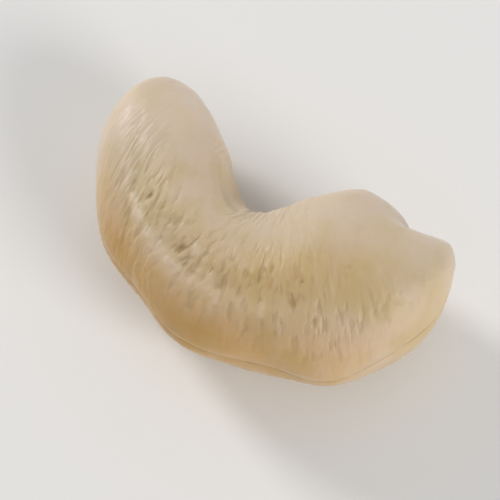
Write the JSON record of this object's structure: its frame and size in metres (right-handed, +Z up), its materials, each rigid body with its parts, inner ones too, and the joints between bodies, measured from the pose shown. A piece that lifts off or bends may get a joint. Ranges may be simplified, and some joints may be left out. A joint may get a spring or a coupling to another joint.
{
  "type": "cashew nut kernel",
  "caption": "Whole raw cashew kernel, a plump kidney-shaped nut with a seam round its edge and a blunt root tip, lying on its cheek.",
  "frame": {"origin": "middle of the kernel's bounding box, on the surface that the kernel lies on", "axes": "+X from the plain lobe to the lobe with the root tip, +Y out of the crook, +Z up"},
  "size_m": [0.0282, 0.0168, 0.0118],
  "materials": {
    "ivory_flesh": "raw blanched nut flesh, waxy satin ivory with tan in the seam, creases and crook"
  },
  "bodies": {
    "root": {"cashew_kernel": "ivory_flesh"}
  },
  "joints": []
}
